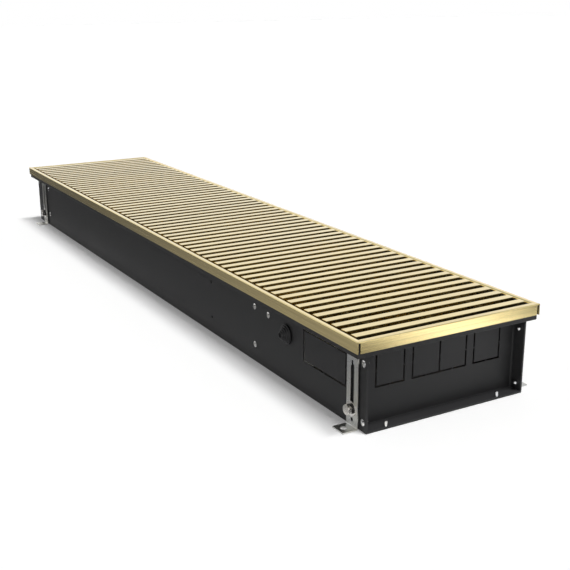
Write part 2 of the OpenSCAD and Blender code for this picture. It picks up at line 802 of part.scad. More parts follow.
module corner_keys() {
    color([0.25, 0.23, 0.18]) for (end = [0, 1]) mirror([end, 0, 0]) for (side = sides)
        mirror_side(side) corner_key();
}

// Angle strips under the slats' ends, and an upright strip inside each end rail
module seat_strips() {
    lining_x = rail_in_x - hole_clear - lining_t;
    long_x = lining_x - hole_clear;
    out_y = rail_in_y - hole_clear;
    seat_in_y = rail_in_y - slat_end_gap - strip_w;
    lining_h = frame_top - rail_bend_r - flange_top;
    color([0.08, 0.08, 0.08]) {
        for (side = sides) mirror_side(side) {
            translate([-long_x, -out_y, flange_top]) cube([2 * long_x, out_y - seat_in_y, strip_t]);
            translate([-long_x, -out_y, flange_top]) cube([2 * long_x, lining_t, lining_h]);
        }
        for (end = [0, 1]) mirror([end, 0, 0])
            translate([lining_x, -out_y, flange_top]) cube([lining_t, 2 * out_y, lining_h]);
    }
}

// Section of a slat: x along the trough, y in height
module slat_section() {
    flat = slat_w / 2 - slat_bevel;
    difference() {
        polygon([[-flat, 0], [flat, 0], [slat_w / 2, slat_bevel], [slat_w / 2, slat_h - slat_bevel],
            [flat, slat_h], [-flat, slat_h], [-slat_w / 2, slat_h - slat_bevel],
            [-slat_w / 2, slat_bevel]]);
        translate([-slat_w / 2 + slat_wall, slat_wall])
            square([slat_w - 2 * slat_wall, slat_h - 2 * slat_wall]);
    }
}

module grille_slats() {
    color([0.93, 0.87, 0.7]) difference() {
        for (i = [0 : slat_steps])
            translate([i * slat_pitch - slat_row / 2, slat_len / 2, strip_top])
                rotate([90, 0, 0]) linear_extrude(slat_len) slat_section();
        for (share = rod_row_shares)
            translate([0, share * slat_len / 2, rod_z]) rod_x(-rod_len / 2, rod_len / 2, rod_hole_r);
    }
}

module grille_rods() {
    color([0.7, 0.7, 0.72]) for (share = rod_row_shares)
        translate([0, share * slat_len / 2, rod_z]) rod_x(-rod_len / 2, rod_len / 2, rod_r);
}

module grille_spacers() {
    gap = slat_pitch - slat_w;
    color([0.1, 0.1, 0.1]) for (share = rod_row_shares, i = [0 : slat_steps - 1])
        translate([i * slat_pitch - slat_row / 2 + slat_w / 2, share * slat_len / 2, rod_z]) difference() {
            rod_x(0, gap, spacer_r);
            rod_x(-over, gap + over, rod_hole_r);
        }
}

module rod_end_caps() {
    cap_x = (slat_row + slat_w) / 2;
    color([0.7, 0.7, 0.72]) for (share = rod_row_shares, end = [0, 1]) mirror([end, 0, 0])
        translate([0, share * slat_len / 2, rod_z]) difference() {
            rod_x(cap_x, cap_x + rod_cap_t, spacer_r);
            rod_x(cap_x - over, cap_x + rod_cap_t + over, rod_r);
        }
}

// Section of a foot bracket on the rear wall: y runs out of the wall and the height is up
module bracket_section() {
    difference() {
        union() {
            translate([bracket_in_y, 0]) square([bracket_t, bracket_top_z]);
            translate([bracket_in_y, 0]) square([wall_y + foot_reach - bracket_in_y, bracket_t]);
            translate([bracket_out_y, bracket_t]) corner_fill(bracket_bend_r, bracket_t / 2);
        }
        translate([bracket_in_y, 0]) corner_fill(bracket_bend_r + bracket_t, over);
    }
}

// A foot bracket on the front wall, centred on x = 0
module foot_bracket() {
    difference() {
        mirror([0, 1, 0]) translate([-bracket_w / 2, 0, 0]) rotate([90, 0, 90])
            linear_extrude(bracket_w) bracket_section();
        for (z = [bolt_z, slot_top_z]) translate([0, -bracket_in_y + over, z]) rotate([90, 0, 0])
            cylinder(r = slot_w / 2, h = bracket_t + 2 * over);
        translate([-slot_w / 2, -bracket_out_y - over, bolt_z])
            cube([slot_w, bracket_t + 2 * over, slot_top_z - bolt_z]);
        translate([0, -bracket_in_y + over, bracket_hole_z]) rotate([90, 0, 0])
            cylinder(r = bracket_hole_r, h = bracket_t + 2 * over);
        translate([0, -wall_y - anchor_out, -over]) cylinder(r = anchor_r, h = bracket_t + 2 * over);
    }
}

module foot_bracket_near_front() {
    color([0.62, 0.62, 0.6]) translate([near_bracket_x, 0, 0]) foot_bracket();
}

module foot_bracket_near_rear() {
    color([0.62, 0.62, 0.6]) translate([near_bracket_x, 0, 0]) mirror([0, 1, 0]) foot_bracket();
}

module foot_bracket_far_front() {
    color([0.62, 0.62, 0.6]) translate([far_bracket_x, 0, 0]) foot_bracket();
}

module foot_bracket_far_rear() {
    color([0.62, 0.62, 0.6]) translate([far_bracket_x, 0, 0]) mirror([0, 1, 0]) foot_bracket();
}

// Children at each bracket bolt, with +Z pointing out of the wall from its outer face
module at_bolts() {
    for (side = sides, x = bracket_xs) on_wall(x, side, bolt_z) children();
}

module bracket_bolts() {
    color([0.72, 0.71, 0.69]) at_bolts() translate([0, 0, head_y - wall_y]) {
        translate([0, 0, -bolt_len]) cylinder(r = bolt_r, h = bolt_len + bolt_head_h / 2);
        intersection() {
            rotate([0, 0, hex_turn]) hex_bar(bolt_af, bolt_head_h);
            translate([0, 0, -bolt_head_h]) cylinder(r1 = bolt_af, r2 = bolt_af / 2, h = 2 * bolt_head_h);
        }
    }
}

// A washer of radius r and thickness t round a bolt, with its back face out at y
module washer_at(y, r, t) {
    translate([0, 0, y - wall_y]) difference() {
        cylinder(r = r, h = t);
        translate([0, 0, -over]) cylinder(r = bolt_r + hole_clear, h = t + 2 * over);
    }
}

module bracket_washers() {
    color([0.8, 0.8, 0.8]) at_bolts() washer_at(bracket_out_y, washer_r, washer_t);
}

module lock_washers() {
    color([0.6, 0.6, 0.6]) at_bolts() washer_at(bracket_out_y + washer_t, lock_r, lock_t);
}

module rivet_nuts() {
    color([0.66, 0.66, 0.64]) at_bolts() difference() {
        union() {
            translate([0, 0, -nut_len]) cylinder(r = nut_r, h = nut_len);
            cylinder(r = nut_flange_r, h = nut_flange_t);
        }
        translate([0, 0, -nut_len - over])
            cylinder(r = bolt_r + hole_clear, h = nut_len + nut_flange_t + 2 * over);
    }
}

module wall_doublers() {
    low_z = bolt_z - nut_flange_r - rivet_head_r;
    high_z = wall_rivet_high_z + 2 * rivet_head_r;
    color([0.3, 0.3, 0.31]) for (side = sides, x = bracket_xs) difference() {
        translate([x, side > 0 ? wall_in_y - doubler_t : -wall_in_y, low_z])
            doubler_plate(x, high_z - low_z);
        on_wall(x, side, bolt_z) translate([0, 0, -nut_len]) cylinder(r = nut_r + hole_clear, h = nut_len);
        on_wall(x, side, wall_rivet_high_z) rivet_hole(sheet_t + doubler_t + over);
    }
}

// The plate is cut short where it would meet the end plate or the far cross bracket's web
module doubler_plate(x, h) {
    toward_end = min(doubler_w / 2, plate_x - sheet_t - hole_clear - abs(x));
    toward_web = min(doubler_w / 2, far_web_x - sheet_t - hole_clear - far_bracket_x);
    low_x = x > 0 ? -doubler_w / 2 : -toward_end;
    high_x = x > 0 ? toward_end : toward_web;
    translate([low_x, 0, 0]) cube([high_x - low_x, doubler_t, h]);
}

// Half profile of the grommet: x is the radius and y the distance out of the wall
function grommet_profile() = concat(
    [[grommet_bore_r, -grommet_grip - grommet_flange_t], [grommet_r, -grommet_grip - grommet_flange_t],
        [grommet_r, -grommet_grip], [grommet_neck_r, -grommet_grip], [grommet_neck_r, 0],
        [grommet_r, 0], [grommet_r, grommet_flange_t]],
    [for (i = [0 : grommet_steps - 1], edge = [0, 1])
        [grommet_step_r(i) - edge * grommet_taper, grommet_flange_t + (i + edge) * grommet_step]],
    [[grommet_bore_r, grommet_flange_t + grommet_cone_len]]);
function grommet_step_r(i) = grommet_cone_r + (grommet_tip_out - grommet_cone_r) * i / (grommet_steps - 1);

module cable_grommet() {
    color([0.06, 0.06, 0.06]) on_wall(grommet_x, -1, grommet_z) rotate_extrude() polygon(grommet_profile());
}

// A cross bracket whose flanges run towards -X from its web at x = 0
module cross_bracket() {
    window_low = fan_z - motor_r;
    window_high = fan_z + motor_r;
    window_in = fan_axis_y + rotor_r + box_t;
    window_out = -wall_in_y + cross_flange / 2;
    difference() {
        union() {
            translate([0, -wall_in_y, sheet_t]) cube([sheet_t, 2 * wall_in_y, cross_top_z - sheet_t]);
            translate([-cross_flange, -wall_in_y, sheet_t]) cube([cross_flange, 2 * wall_in_y, sheet_t]);
            for (y = [-wall_in_y, wall_in_y - sheet_t])
                translate([-cross_flange, y, sheet_t]) cube([cross_flange, sheet_t, cross_top_z - sheet_t]);
        }
        for (side = sides, z = [wall_rivet_low_z, wall_rivet_high_z])
            translate([-web_off, side * wall_in_y, z]) rotate([90, 0, 0]) rivet_hole(sheet_t + over);
        for (y = tube_ys, z = tube_zs)
            translate([0, y, z]) rod_x(-over, sheet_t + over, tube_r + tube_clear);
        translate([-over, window_out, window_low])
            cube([sheet_t + 2 * over, window_in - window_out, window_high - window_low]);
    }
}

module cross_bracket_near() {
    color([0.62, 0.63, 0.64]) translate([near_web_x, 0, 0]) cross_bracket();
}

module cross_bracket_far() {
    color([0.62, 0.63, 0.64]) translate([far_web_x, 0, 0]) mirror([1, 0, 0]) cross_bracket();
}

module exchanger_fins() {
    first_x = fin_mid_x - fin_row / 2 - fin_t / 2;
    color([0.8, 0.81, 0.82]) difference() {
        for (i = [0 : fin_steps])
            translate([first_x + i * fin_pitch, exchanger_y - fin_w / 2, fin_mid_z - fin_h / 2])
                cube([fin_t, fin_w, fin_h]);
        for (y = tube_ys, z = tube_zs)
            translate([0, y, z]) rod_x(-end_x, end_x, tube_r + hole_clear);
    }
}

// A water tube along X between two places
module tube_run(x0, x1, y, z) {
    translate([0, y, z]) difference() {
        rod_x(x0, x1, tube_r);
        rod_x(x0 - over, x1 + over, tube_r - tube_wall);
    }
}

module exchanger_tubes() {
    color([0.8, 0.45, 0.25]) for (y = tube_ys) {
        tube_run(far_bend_x, near_bend_x, y, tube_low_z);
        tube_run(far_bend_x, connector_back + tube_seat, y, tube_top_z);
    }
}

// A half ring of tube that opens towards +X, with its ends a pitch apart along Z
module return_bend(pitch) {
    rotate([90, 0, 0]) rotate([0, 0, 90]) rotate_extrude(angle = 180)
        translate([pitch / 2, 0]) difference() {
            circle(r = tube_r);
            circle(r = tube_r - tube_wall);
        }
}

module far_return_bends() {
    color([0.8, 0.45, 0.25]) for (y = tube_ys)
        translate([far_bend_x, y, fin_mid_z]) return_bend(tube_pitch_z);
}

module near_return_bend() {
    color([0.8, 0.45, 0.25]) translate([near_bend_x, exchanger_y, tube_low_z])
        rotate([90, 0, 0]) mirror([1, 0, 0]) return_bend(tube_pitch_y);
}

// A brass pipe connector with a female thread that opens towards +X
module pipe_connector(y) {
    translate([connector_back, y, tube_top_z]) difference() {
        union() {
            rod_x(0, connector_len / 2, connector_shank_r);
            translate([connector_len / 2, 0, 0]) rotate([0, 90, 0]) rotate([0, 0, hex_turn])
                hex_bar(connector_af, connector_len / 2);
        }
        rod_x(connector_len - thread_depth, connector_len + over, thread_r);
        rod_x(-over, tube_seat, tube_r + hole_clear);
        rod_x(0, connector_len, tube_r - tube_wall);
    }
}

module flow_connector() {
    color([0.8, 0.68, 0.38]) pipe_connector(tube_ys[1]);
}

module return_connector() {
    color([0.8, 0.68, 0.38]) pipe_connector(tube_ys[0]);
}

module connection_plate() {
    plate_low_y = tube_ys[0] - connector_af;
    plate_high_y = tube_ys[1] + connector_af;
    plate_top = tube_top_z + connector_af / 2;
    color([0.62, 0.63, 0.64]) difference() {
        union() {
            translate([connection_plate_x - connection_plate_t, plate_low_y, sheet_t])
                cube([connection_plate_t, plate_high_y - plate_low_y, plate_top - sheet_t]);
            translate([connection_plate_x - cross_flange, plate_low_y, sheet_t])
                cube([cross_flange, plate_high_y - plate_low_y, connection_plate_t]);
        }
        for (y = tube_ys) translate([0, y, tube_top_z])
            rod_x(connection_plate_x - connection_plate_t - over, connection_plate_x + over,
                connector_shank_r + hole_clear);
    }
}

module air_vent_body() {
    color([0.8, 0.68, 0.38]) translate([vent_x, tube_ys[0], vent_base_z]) difference() {
        hex_bar(2 * vent_r, vent_h);
        cylinder(r = vent_screw_r + shaft_clear, h = vent_h + over);
    }
}

module air_vent_screw() {
    color([0.7, 0.7, 0.7]) translate([vent_x, tube_ys[0], vent_base_z + hole_clear]) difference() {
        union() {
            cylinder(r = vent_screw_r, h = vent_h + vent_head_h / 2);
            translate([0, 0, vent_h]) cylinder(r = vent_head_r, h = vent_head_h);
        }
        translate([-vent_slot_w / 2, -vent_head_r - over, vent_h + vent_head_h - vent_slot_deep])
            cube([vent_slot_w, 2 * (vent_head_r + over), vent_slot_deep + over]);
    }
}

// Section of a fan's scroll around its axis: x towards the heat exchanger, y up
module scroll_section() {
    reach = scroll_out_r * sector_share;
    root_r = scroll_r + housing_t / 2;
    root = [root_r * cos(tongue_root_angle), root_r * sin(tongue_root_angle)];
    difference() {
        circle(r = scroll_out_r);
        circle(r = scroll_r);
        polygon([[0, 0], [0, -reach], [reach, -reach], [reach, reach],
            [reach * cos(intake_angle), reach * sin(intake_angle)]]);
    }
    intersection() {
        difference() {
            circle(r = scroll_out_r);
            circle(r = scroll_r);
        }
        polygon([[0, 0], [reach * cos(tongue_low_angle), reach * sin(tongue_low_angle)],
            [reach * cos(tongue_high_angle), reach * sin(tongue_high_angle)]]);
    }
    translate([0, -scroll_out_r]) square([outlet_len, housing_t]);
    translate(root) square([outlet_len - root[0], housing_t]);
}

// An end wall of a fan unit with its foot, its inner face at x = 0 and its body towards -X
module fan_end_wall(hole_r) {
    difference() {
        union() {
            translate([-housing_t, fan_axis_y - end_wall_w / 2, sheet_t])
                cube([housing_t, end_wall_w / 2 + outlet_len, end_wall_top - sheet_t]);
            translate([-fan_foot_len, fan_axis_y - end_wall_w / 2, sheet_t])
                cube([fan_foot_len, end_wall_w / 2 + outlet_len, housing_t]);
        }
        translate([0, fan_axis_y, fan_z]) rod_x(-fan_foot_len, over, hole_r);
    }
}

module fan_housing(x) {
    color([0.68, 0.69, 0.7]) translate([x + housing_t, 0, 0]) {
        fan_end_wall(bush_r + hole_clear);
        difference() {
            translate([scroll_len, 0, 0]) mirror([1, 0, 0]) fan_end_wall(shaft_r * motor_hole_share);
            translate([scroll_len, fan_axis_y, fan_z]) at_motor_screws()
                rod_x(-over, housing_t + over, screw_r + hole_clear);
        }
        translate([0, fan_axis_y, fan_z]) rotate([90, 0, 90]) linear_extrude(scroll_len) scroll_section();
    }
}

module fan_housing_near() {
    fan_housing(near_unit_x);
}

module fan_housing_far() {
    fan_housing(far_unit_x);
}

// Children at each screw place around a motor's shaft
module at_motor_screws() {
    for (a = motor_screw_angles) rotate([a, 0, 0])
        translate([0, motor_r * motor_screw_ring_share, 0]) children();
}

module fan_motor(x) {
    motor_x = x + scroll_len + 2 * housing_t;
    color([0.16, 0.16, 0.17]) translate([0, fan_axis_y, fan_z]) difference() {
        union() {
            rod_x(motor_x, motor_x + motor_len - motor_cap_h, motor_r);
            rod_x(motor_x, motor_x + motor_len, motor_r * motor_cap_r_share);
        }
        rod_x(motor_x - over, motor_x + motor_len + over, shaft_r + shaft_clear);
        at_motor_screws() rod_x(motor_x - over, motor_x + motor_screw_len, screw_r + hole_clear);
    }
}

module fan_motor_near() {
    fan_motor(near_unit_x);
}

module fan_motor_far() {
    fan_motor(far_unit_x);
}

module fan_bearing(x) {
    color([0.1, 0.1, 0.1]) translate([x, fan_axis_y, fan_z]) difference() {
        union() {
            rod_x(-bush_len / 2, housing_t + bush_lip, bush_r);
            rod_x(-bush_len / 2, 0, bush_r + housing_t);
        }
        rod_x(-bush_len, bush_len, shaft_r + shaft_clear);
    }
}

module fan_bearing_near() {
    fan_bearing(near_unit_x);
}

module fan_bearing_far() {
    fan_bearing(far_unit_x);
}

module fan_shaft(x) {
    color([0.75, 0.75, 0.76]) translate([0, fan_axis_y, fan_z])
        rod_x(x - bush_len / 2, x + scroll_len + 2 * housing_t + motor_len, shaft_r);
}

module fan_shaft_near() {
    fan_shaft(near_unit_x);
}

module fan_shaft_far() {
    fan_shaft(far_unit_x);
}

// One curved blade of the crossflow rotor in section
module blade_section() {
    curve_r = 2 * blade_depth;
    blade_mid_r = rotor_r - blade_depth / 2;
    intersection() {
        translate([blade_mid_r, -curve_r]) difference() {
            circle(r = curve_r + blade_t / 2);
            circle(r = curve_r - blade_t / 2);
        }
        translate([rotor_r - blade_depth, -blade_depth]) square([blade_depth - blade_t, 2 * blade_depth]);
    }
}

module fan_rotor(x) {
    start = x + housing_t + rotor_end_gap;
    step = (rotor_len - disc_t) / rotor_sections;
    color([0.72, 0.73, 0.75]) translate([start, fan_axis_y, fan_z]) {
        difference() {
            union() {
                rotate([90, 0, 90]) linear_extrude(rotor_len)
                    for (i = [0 : blade_count - 1]) rotate(i * 360 / blade_count) blade_section();
                for (i = [0 : rotor_sections]) translate([i * step, 0, 0]) difference() {
                    rod_x(0, disc_t, rotor_r);
                    rod_x(-over, disc_t + over, rotor_r - blade_depth - blade_t);
                }
                for (i = [0, rotor_sections]) translate([i * step, 0, 0])
                    rod_x(0, disc_t, rotor_r - blade_depth / 2);
                rod_x(-rotor_end_gap / 2, disc_t + bush_len, bush_r);
                rod_x(rotor_len - disc_t - bush_len, rotor_len + rotor_end_gap / 2, bush_r);
            }
            rod_x(-rotor_end_gap, rotor_len + rotor_end_gap, shaft_r);
        }
    }
}

module fan_rotor_near() {
    fan_rotor(near_unit_x);
}

module fan_rotor_far() {
    fan_rotor(far_unit_x);
}

// The motors' screws sit between the housing's end wall and the motor
module motor_screws() {
    color([0.7, 0.7, 0.7]) for (x = [near_unit_x, far_unit_x])
        translate([x + scroll_len + housing_t, fan_axis_y, fan_z]) at_motor_screws() {
            rod_x(0, housing_t + motor_screw_len - over, screw_r);
            rod_x(-screw_head_h, 0, screw_head_r);
        }
}

module terminal_box() {
    color([0.85, 0.85, 0.83]) difference() {
        union() {
            difference() {
                translate([box_x, box_back_y, box_z]) cube([box_len, box_w, box_h]);
                translate([box_x + box_t, box_back_y + box_t, box_z + box_t])
                    cube([box_len - 2 * box_t, box_w - 2 * box_t, box_h]);
            }
            for (p = post_places) translate([p[0], p[1], box_z]) cylinder(r = post_r, h = box_h);
        }
        for (p = post_places) translate([p[0], p[1], box_top_z - screw_len])
            cylinder(r = screw_r + hole_clear, h = screw_len + over);
        on_wall(grommet_x, -1, grommet_z) translate([0, 0, -sheet_t - box_t - over])
            cylinder(r = grommet_neck_r + hole_clear, h = sheet_t + box_t + over);
        on_wall(box_rivet_x, -1, box_rivet_z) rivet_hole(sheet_t + box_t + over);
        for (y = cable_entries) translate([0, y, cable_entry_z])
            rod_x(box_x - over, box_x + box_t + over, cable_r + hole_clear);
    }
}

module terminal_box_lid() {
    color([0.85, 0.85, 0.83]) difference() {
        translate([box_x, box_back_y, box_top_z]) cube([box_len, box_w, lid_t]);
        for (p = post_places) translate([p[0], p[1], box_top_z - over])
            cylinder(r = screw_r + hole_clear, h = lid_t + 2 * over);
    }
}

module lid_screws() {
    color([0.7, 0.7, 0.7]) for (p = post_places) translate([p[0], p[1], box_top_z + lid_t]) {
        translate([0, 0, -screw_len]) cylinder(r = screw_r, h = screw_len);
        cylinder(r = screw_head_r, h = screw_head_h);
    }
}

module terminal_block() {
    color([0.9, 0.9, 0.88]) translate([block_x - block_len / 2, block_y - block_w / 2, block_floor])
        difference() {
            cube([block_len, block_w, block_h]);
            for (i = [0 : block_poles - 1], share = pole_row_shares)
                translate([(i + 0.5) * pole_pitch, share * block_w, block_h - pole_hole_deep])
                    cylinder(r = pole_hole_r, h = pole_hole_deep + over);
        }
}

// A cable along straight runs between points, rounded where it turns
module cable_runs(points) {
    for (i = [0 : len(points) - 2]) {
        run = points[i + 1] - points[i];
        flat = norm([run[0], run[1]]);
        translate(points[i]) rotate([0, atan2(flat, run[2]), atan2(run[1], run[0])])
            cylinder(r = cable_r, h = norm(run));
    }
    for (i = [1 : len(points) - 2]) translate(points[i]) sphere(r = cable_r * cable_bend_share);
}

module motor_cable_near() {
    motor_end = near_unit_x + unit_len;
    color([0.12, 0.12, 0.12]) cable_runs([
        [motor_end - motor_cap_h, cable_exit_y, cable_exit_z],
        [near_web_x - cross_flange, cable_exit_y, cable_exit_z],
        [cable_bend_x, cable_entries[0], cable_entry_z],
        [cable_end_x, cable_entries[0], cable_entry_z]]);
}

module motor_cable_far() {
    color([0.12, 0.12, 0.12]) cable_runs(far_cable_points);
}

module cable_clips() {
    run_len = far_cable_up_x - far_cable_down_x;
    clip_w = 2 * cable_r + 2 * clip_t;
    clip_top = cable_floor_z + cable_r + clip_t;
    color([0.9, 0.9, 0.88]) for (share = clip_shares)
        translate([far_cable_down_x + share * run_len, cable_wall_y, 0]) difference() {
            translate([0, -clip_w / 2, sheet_t]) cube([clip_len, clip_w, clip_top - sheet_t]);
            translate([0, 0, cable_floor_z]) rod_x(-over, clip_len + over, cable_r + hole_clear);
        }
}

module earth_stud() {
    color([0.8, 0.68, 0.38]) translate([stud_x, stud_y, 0]) {
        cylinder(r = stud_r, h = stud_len);
        translate([0, 0, sheet_t]) cylinder(r = stud_washer_r, h = stud_washer_t);
        translate([0, 0, sheet_t + stud_washer_t]) hex_bar(stud_af, stud_nut_h);
    }
}

trough();
end_plate_near();
end_plate_far();
end_plate_rivets();
casing_rivets();
frame_rail_front();
frame_rail_rear();
frame_rail_near();
frame_rail_far();
corner_keys();
seat_strips();
grille_slats();
grille_rods();
grille_spacers();
rod_end_caps();
foot_bracket_near_front();
foot_bracket_near_rear();
foot_bracket_far_front();
foot_bracket_far_rear();
bracket_bolts();
bracket_washers();
lock_washers();
rivet_nuts();
wall_doublers();
cable_grommet();
cross_bracket_near();
cross_bracket_far();
exchanger_fins();
exchanger_tubes();
far_return_bends();
near_return_bend();
flow_connector();
return_connector();
connection_plate();
air_vent_body();
air_vent_screw();
fan_housing_near();
fan_housing_far();
fan_motor_near();
fan_motor_far();
fan_bearing_near();
fan_bearing_far();
fan_shaft_near();
fan_shaft_far();
fan_rotor_near();
fan_rotor_far();
motor_screws();
terminal_box();
terminal_box_lid();
lid_screws();
terminal_block();
motor_cable_near();
motor_cable_far();
cable_clips();
earth_stud();
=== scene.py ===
import math

import bpy
from mathutils import Matrix, Vector

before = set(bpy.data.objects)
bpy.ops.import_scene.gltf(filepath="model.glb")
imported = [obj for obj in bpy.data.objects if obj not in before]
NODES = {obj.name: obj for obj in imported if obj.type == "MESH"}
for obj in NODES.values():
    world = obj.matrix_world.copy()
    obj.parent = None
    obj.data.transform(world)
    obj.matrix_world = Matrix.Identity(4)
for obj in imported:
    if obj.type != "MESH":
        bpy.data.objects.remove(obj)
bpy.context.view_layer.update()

MM = 0.001

# Camera: solved from the photograph's perspective
CAMERA_POS = (1.41029, -0.68030, 0.47216)
CAMERA_AZIMUTH = 59.930
CAMERA_PITCH = 17.036
CAMERA_ROLL = -0.193
CAMERA_LENS = 61.136
SENSOR = 36.0
CLIP_NEAR, CLIP_FAR = 0.01, 60.0


def make_camera():
    data = bpy.data.cameras.new("camera")
    data.sensor_width = SENSOR
    data.lens = CAMERA_LENS
    data.clip_start = CLIP_NEAR
    data.clip_end = CLIP_FAR
    camera = bpy.data.objects.new("camera", data)
    turn = Matrix.Rotation(math.radians(CAMERA_AZIMUTH), 4, "Z")
    tilt = Matrix.Rotation(math.radians(90.0 - CAMERA_PITCH), 4, "X")
    roll = Matrix.Rotation(math.radians(CAMERA_ROLL), 4, "Z")
    camera.matrix_world = Matrix.Translation(CAMERA_POS) @ turn @ tilt @ roll
    bpy.context.scene.collection.objects.link(camera)
    bpy.context.scene.camera = camera


class Graph:
    """A material's node tree around one Principled shader, with short calls for the usual nodes."""

    def __init__(self, name, color, metallic, roughness):
        self.material = bpy.data.materials.new(name)
        self.material.use_nodes = True
        self.tree = self.material.node_tree
        self.tree.nodes.clear()
        self.output = self.node("ShaderNodeOutputMaterial")
        self.shader = self.node("ShaderNodeBsdfPrincipled")
        self.join(self.shader.outputs[0], self.output.inputs["Surface"])
        self.set("Base Color", (*color, 1.0))
        self.set("Metallic", metallic)
        self.set("Roughness", roughness)
        self.material.diffuse_color = (*color, 1.0)

    def node(self, kind, **values):
        made = self.tree.nodes.new(kind)
        for key, value in values.items():
            setattr(made, key, value)
        return made

    def join(self, source, target):
        self.tree.links.new(source, target)

    def feed(self, socket, value):
        if hasattr(value, "is_output"):
            self.join(value, socket)
        else:
            socket.default_value = value

    def set(self, socket, value):
        self.feed(self.shader.inputs[socket], value)

    def place(self, scale=(1.0, 1.0, 1.0), shift=(0.0, 0.0, 0.0)):
        """Object coordinates, which are the part's own metres, stretched by scale."""
        coords = self.node("ShaderNodeTexCoord")
        mapping = self.node("ShaderNodeMapping")
        mapping.inputs["Scale"].default_value = scale
        mapping.inputs["Location"].default_value = shift
        self.join(coords.outputs["Object"], mapping.inputs["Vector"])
        return mapping.outputs[0]

    def noise(self, vector, scale, detail=2.0, rough=0.5):
        made = self.node("ShaderNodeTexNoise")
        self.join(vector, made.inputs["Vector"])
        made.inputs["Scale"].default_value = scale
        made.inputs["Detail"].default_value = detail
        made.inputs["Roughness"].default_value = rough
        return made.outputs["Fac"]

    def cells(self, vector, scale):
        made = self.node("ShaderNodeTexVoronoi")
        self.join(vector, made.inputs["Vector"])
        made.inputs["Scale"].default_value = scale
        return made.outputs["Color"]

    def level(self, value, low, high, start=0.3, end=0.7):
        made = self.node("ShaderNodeMapRange")
        self.join(value, made.inputs["Value"])
        made.inputs["From Min"].default_value = start
        made.inputs["From Max"].default_value = end
        made.inputs["To Min"].default_value = low
        made.inputs["To Max"].default_value = high
        return made.outputs["Result"]

    def math(self, kind, first, second=0.0):
        made = self.node("ShaderNodeMath", operation=kind)
        self.feed(made.inputs[0], first)
        self.feed(made.inputs[1], second)
        return made.outputs[0]

    def mix(self, factor, first, second, blend="MIX"):
        made = self.node("ShaderNodeMix", data_type="RGBA", blend_type=blend)
        self.feed(made.inputs[0], factor)
        self.feed(made.inputs[6], first)
        self.feed(made.inputs[7], second)
        return made.outputs[2]

    def bump(self, height, distance, strength):
        made = self.node("ShaderNodeBump")
        made.inputs["Strength"].default_value = strength
        made.inputs["Distance"].default_value = distance
        self.join(height, made.inputs["Height"])
        self.join(made.outputs[0], self.shader.inputs["Normal"])


def rgba(color, gain=1.0):
    return (color[0] * gain, color[1] * gain, color[2] * gain, 1.0)


GOLD = (0.9, 0.73, 0.33)
GOLD_DEEP = (0.92, 0.72, 0.29)
GOLD_PALE = (0.95, 0.82, 0.46)
# The clear anodic layer over the brushed metal
GOLD_COAT, GOLD_COAT_ROUGHNESS = 0.6, 0.15
SLAT_PITCH = 19.8 * MM


def brushed_gold(name, along, roughness, bands=260.0, contrast=0.07):
    """Anodised aluminium brushed along X (0) or Y (1), with this many bands to a metre across it."""
    g = Graph(name, GOLD, 1.0, roughness)
    fine = [1400.0, 1400.0, 1400.0]
    fine[along] = 9.0
    coarse = [bands, bands, bands]
    coarse[along] = 2.5
    streak = g.noise(g.place(tuple(fine)), 1.0, 3.0, 0.6)
    band = g.noise(g.place(tuple(coarse), (3.1, 1.7, 0.4)), 1.0, 2.0, 0.5)
    cloud = g.noise(g.place(), 7.0, 2.0, 0.5)
    tone = g.mix(g.level(band, 0.0, 1.0), rgba(GOLD, 1.0 - contrast), rgba(GOLD, 1.0 + contrast))
    warm = g.mix(g.level(cloud, 0.0, 0.5), tone, rgba(GOLD_DEEP))
    scratch = g.mix(g.level(streak, 0.0, 0.35, 0.25, 0.8), warm, rgba(GOLD_PALE))
    g.set("Base Color", scratch)
    g.set("Coat Weight", GOLD_COAT)
    g.set("Coat Roughness", GOLD_COAT_ROUGHNESS)
    rough = g.math("ADD", g.level(streak, -0.06, 0.08), g.level(cloud, roughness - 0.02, roughness + 0.03))
    g.set("Roughness", rough)
    g.bump(streak, 0.00002, 0.4)
    return g


def slat_gold():
    """The slats' gold: brushed along Y, and each slat a touch lighter or darker than the next."""
    g = brushed_gold("gold_slats", 1, 0.2)
    coords = g.node("ShaderNodeTexCoord")
    split = g.node("ShaderNodeSeparateXYZ")
    g.join(coords.outputs["Object"], split.inputs[0])
    steps = g.math("DIVIDE", split.outputs["X"], SLAT_PITCH)
    index = g.math("FLOOR", g.math("ADD", steps, 0.5))
    random = g.node("ShaderNodeTexWhiteNoise", noise_dimensions="1D")
    g.join(index, random.inputs["W"])
    shade = g.level(random.outputs["Value"], 0.94, 1.03, 0.0, 1.0)
    color = g.shader.inputs["Base Color"].links[0].from_socket
    gain = g.node("ShaderNodeCombineColor")
    for channel in range(3):
        g.join(shade, gain.inputs[channel])
    g.set("Base Color", g.mix(1.0, color, gain.outputs[0], "MULTIPLY"))
    return g


def powder_black():
    """Matt black powder coat with a fine orange-peel texture."""
    base = (0.030, 0.030, 0.031)
    g = Graph("powder_black", base, 0.0, 0.5)
    grain = g.noise(g.place(), 1500.0, 2.0, 0.6)
    peel = g.noise(g.place(), 420.0, 1.0, 0.4)
    cloud = g.noise(g.place(), 5.0, 3.0, 0.55)
    tone = g.mix(g.level(cloud, 0.0, 1.0), rgba(base, 0.9), rgba(base, 1.12))
    g.set("Base Color", g.mix(g.level(grain, 0.0, 0.35), tone, rgba((0.045, 0.045, 0.047))))
    g.set("Roughness", g.math("ADD", g.level(grain, -0.04, 0.06), g.level(cloud, 0.46, 0.54)))
    g.set("Specular IOR Level", 0.28)
    both = g.math("ADD", grain, g.math("MULTIPLY", peel, 1.6))
    g.bump(both, 0.00003, 0.6)
    return g


